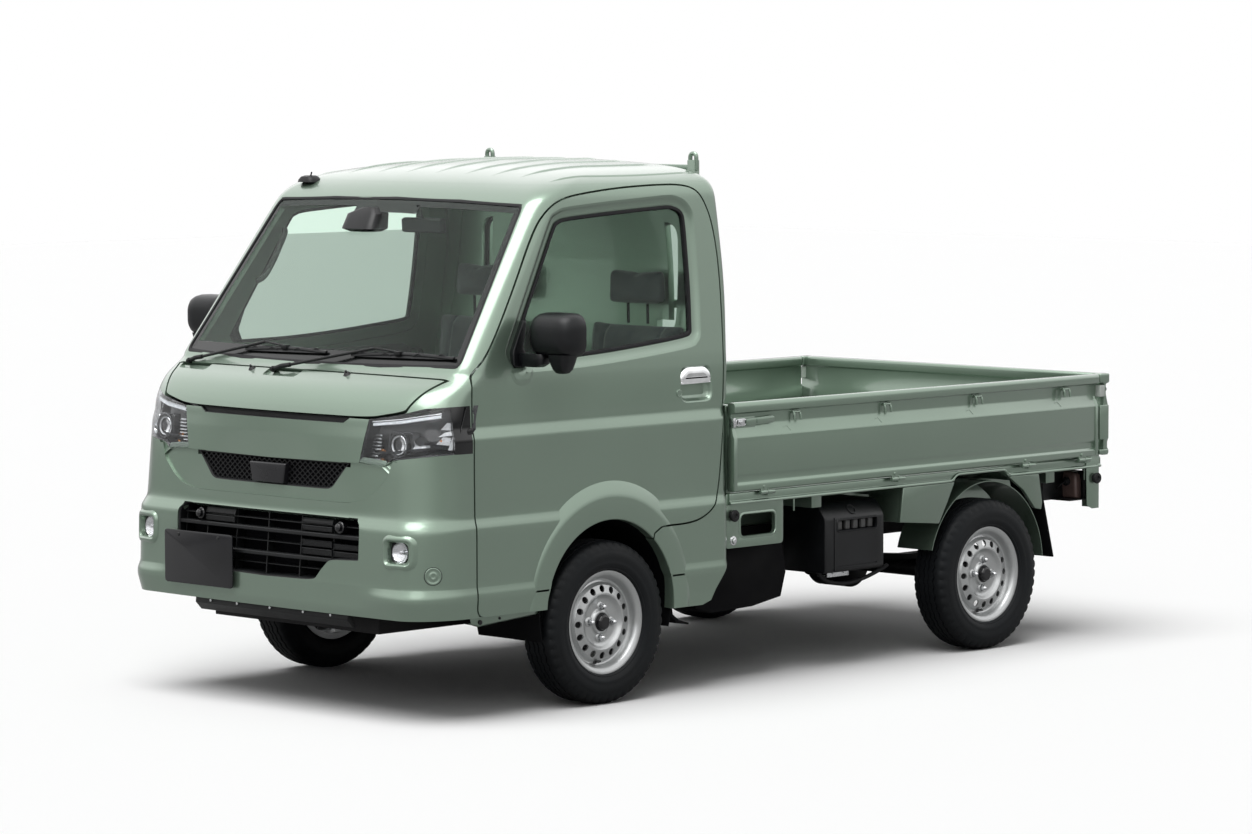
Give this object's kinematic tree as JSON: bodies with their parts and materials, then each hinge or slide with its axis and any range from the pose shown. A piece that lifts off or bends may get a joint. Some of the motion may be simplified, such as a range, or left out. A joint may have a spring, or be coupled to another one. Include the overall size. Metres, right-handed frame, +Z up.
{
  "type": "kei truck",
  "caption": "Small cab-over truck with a boxy cab, sloping windscreen, opening doors and front lid, and a flat bed with drop sides and a tailgate.",
  "frame": {"origin": "on the ground, under the middle of the truck's length and width", "axes": "+X to the truck's left, +Y to its rear, +Z up, so it drives towards -Y"},
  "size_m": [1.85, 3.395, 1.7649],
  "materials": {
    "body_paint": "glossy metallic",
    "body_paint_inner": "satin",
    "chassis_black": "satin",
    "engine_grey": "matte",
    "spring_steel": "satin",
    "exhaust_steel": "satin",
    "black_plastic": "grained",
    "clear_glass": "clear",
    "lamp_glass": "clear",
    "plate_black": "gloss",
    "dark_plastic": "grained",
    "seat_cloth": "woven",
    "red_lens": "gloss",
    "wheel_silver": "silver",
    "tyre_rubber": "matte"
  },
  "bodies": {
    "chassis": {"chassis_frame": "chassis_black", "engine": "engine_grey", "front_suspension": "chassis_black", "rear_axle": "chassis_black", "leaf_springs": "spring_steel", "exhaust": "exhaust_steel", "fuel_tank": "chassis_black", "battery_box": "black_plastic", "cab_floor": "body_paint_inner", "cab_frame": "body_paint", "roof_panel": "body_paint", "back_panel": "body_paint", "cab_glass": "clear_glass", "front_panel": "body_paint", "front_bumper": "body_paint", "lower_grille": "black_plastic", "front_lamps": "lamp_glass", "number_plates": "plate_black", "wipers": "black_plastic", "dashboard": "dark_plastic", "steering_column": "dark_plastic", "seat_cushions": "seat_cloth", "seat_backs": "seat_cloth", "bed_floor": "body_paint", "headboard": "body_paint", "rear_fenders": "black_plastic", "tail_lamps": "red_lens"},
    "hood": {"hood": "body_paint"},
    "door_left": {"door_left": "body_paint", "door_glass_left": "clear_glass", "mirror_left": "black_plastic"},
    "door_right": {"door_right": "body_paint", "door_glass_right": "clear_glass", "mirror_right": "black_plastic"},
    "gate_left": {"gate_left": "body_paint"},
    "gate_right": {"gate_right": "body_paint"},
    "tailgate": {"tailgate": "body_paint"},
    "steering_wheel": {"steering_wheel": "dark_plastic"},
    "steering_rack": {"steering_rack": "spring_steel"},
    "knuckle_left": {"knuckle_left": "engine_grey"},
    "knuckle_right": {"knuckle_right": "engine_grey"},
    "wheel_front_left": {"rim_front_left": "wheel_silver", "tyre_front_left": "tyre_rubber"},
    "wheel_front_right": {"rim_front_right": "wheel_silver", "tyre_front_right": "tyre_rubber"},
    "wheel_rear_left": {"rim_rear_left": "wheel_silver", "tyre_rear_left": "tyre_rubber"},
    "wheel_rear_right": {"rim_rear_right": "wheel_silver", "tyre_rear_right": "tyre_rubber"}
  },
  "joints": [
    {"name": "steer_left", "type": "hinge", "parent": "chassis", "child": "knuckle_left", "pos_m": [0.612, -0.8495, 0.18], "axis": [-0.1546, 0, 0.988], "range_deg": [-36, 36]},
    {"name": "steer_right", "type": "hinge", "parent": "chassis", "child": "knuckle_right", "pos_m": [-0.612, -0.8495, 0.18], "axis": [0.1546, 0, 0.988], "range_deg": [-36, 36]},
    {"name": "steering_wheel_turn", "type": "hinge", "parent": "chassis", "child": "steering_wheel", "pos_m": [-0.37, -1.0495, 0.99], "axis": [0, 0.6428, 0.766], "range_deg": [-560, 560]},
    {"name": "rack_slide", "type": "slide", "parent": "chassis", "child": "steering_rack", "axis": [1, 0, 0], "range_m": [-0.085, 0.085]},
    {"name": "wheel_front_left_spin", "type": "hinge", "parent": "knuckle_left", "child": "wheel_front_left", "pos_m": [0.6525, -0.8495, 0.265], "axis": [1, 0, 0], "continuous": true},
    {"name": "wheel_front_right_spin", "type": "hinge", "parent": "knuckle_right", "child": "wheel_front_right", "pos_m": [-0.6525, -0.8495, 0.265], "axis": [1, 0, 0], "continuous": true},
    {"name": "wheel_rear_left_spin", "type": "hinge", "parent": "chassis", "child": "wheel_rear_left", "pos_m": [0.65, 1.0555, 0.265], "axis": [1, 0, 0], "continuous": true},
    {"name": "wheel_rear_right_spin", "type": "hinge", "parent": "chassis", "child": "wheel_rear_right", "pos_m": [-0.65, 1.0555, 0.265], "axis": [1, 0, 0], "continuous": true},
    {"name": "door_left_hinge", "type": "hinge", "parent": "chassis", "child": "door_left", "pos_m": [0.719, -1.3945, 0.47], "axis": [0.0278, 0, -0.9996], "range_deg": [0, 62]},
    {"name": "door_right_hinge", "type": "hinge", "parent": "chassis", "child": "door_right", "pos_m": [-0.719, -1.3945, 0.47], "axis": [0.0278, 0, 0.9996], "range_deg": [0, 62]},
    {"name": "hood_hinge", "type": "hinge", "parent": "chassis", "child": "hood", "pos_m": [0, -1.4795, 1.076], "axis": [-1, 0, 0], "range_deg": [0, 48]},
    {"name": "gate_left_hinge", "type": "hinge", "parent": "chassis", "child": "gate_left", "pos_m": [0.7305, 0.6505, 0.637], "axis": [0, 1, 0], "range_deg": [0, 170]},
    {"name": "gate_right_hinge", "type": "hinge", "parent": "chassis", "child": "gate_right", "pos_m": [-0.7305, 0.6505, 0.637], "axis": [0, -1, 0], "range_deg": [0, 170]},
    {"name": "tailgate_hinge", "type": "hinge", "parent": "chassis", "child": "tailgate", "pos_m": [0, 1.6905, 0.637], "axis": [-1, 0, 0], "range_deg": [0, 170]}
  ],
  "couplings": [
    {"joint": "steer_right", "follows": "steer_left", "ratio": 1},
    {"joint": "steering_wheel_turn", "follows": "steer_left", "ratio": 15},
    {"joint": "rack_slide", "follows": "steer_left", "m_per_rad": -0.128}
  ]
}
